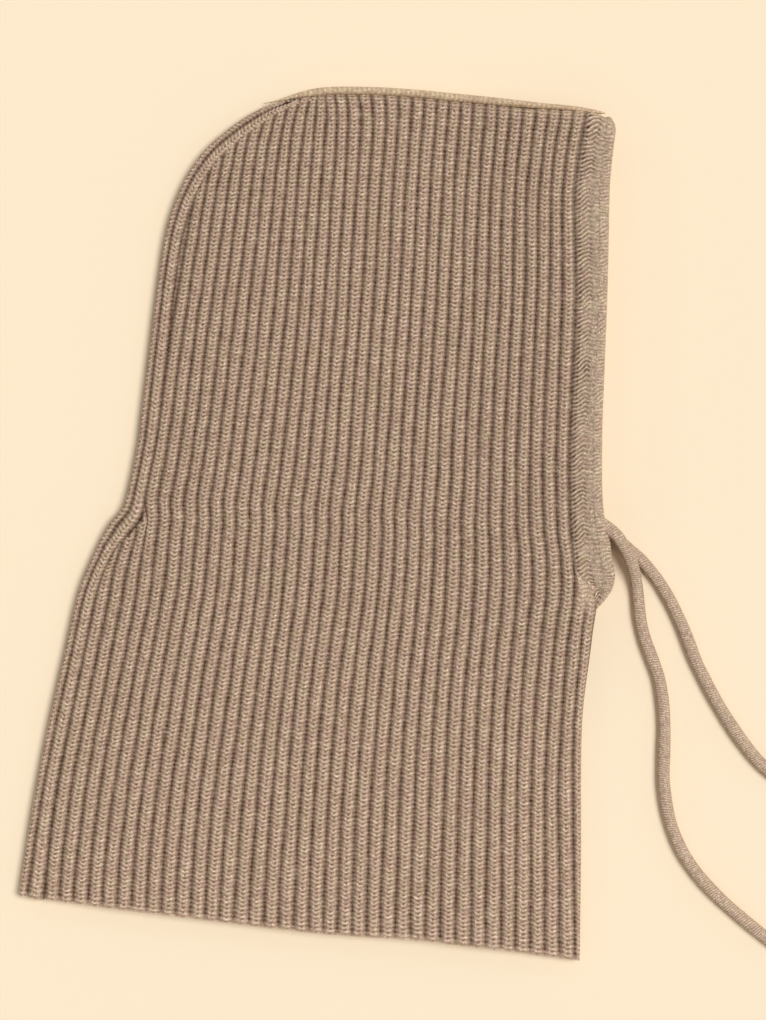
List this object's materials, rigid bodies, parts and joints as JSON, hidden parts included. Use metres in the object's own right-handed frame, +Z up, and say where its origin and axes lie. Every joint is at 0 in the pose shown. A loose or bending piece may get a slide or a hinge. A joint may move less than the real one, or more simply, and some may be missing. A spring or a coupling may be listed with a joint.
{
  "type": "knitted snood hood",
  "caption": "Rib-knit hood with a long flared neck, a face band that is a casing and a knitted drawcord with two loose ends, lying flat on its side.",
  "frame": {"origin": "on the surface that the hood lies on, below the middle of the hood's box without its loose cord ends", "axes": "+Z up out of the surface, +Y from the hem to the crown, +X from the back of the head to the face"},
  "size_m": [0.4285, 0.4798, 0.024],
  "materials": {
    "rib_knit": "ribbed wool blend knit in heathered taupe",
    "band_knit": "plain knit band in heathered taupe, folded over",
    "seam_yarn": "linked seam in the same yarn",
    "cord_knit": "fine tubular knit in heathered oatmeal"
  },
  "bodies": {
    "root": {"knit_body": "rib_knit", "face_band": "band_knit", "crown_seam": "seam_yarn", "drawcord_in_casing": "cord_knit", "drawcord_right": "cord_knit", "drawcord_left": "cord_knit"}
  },
  "joints": []
}
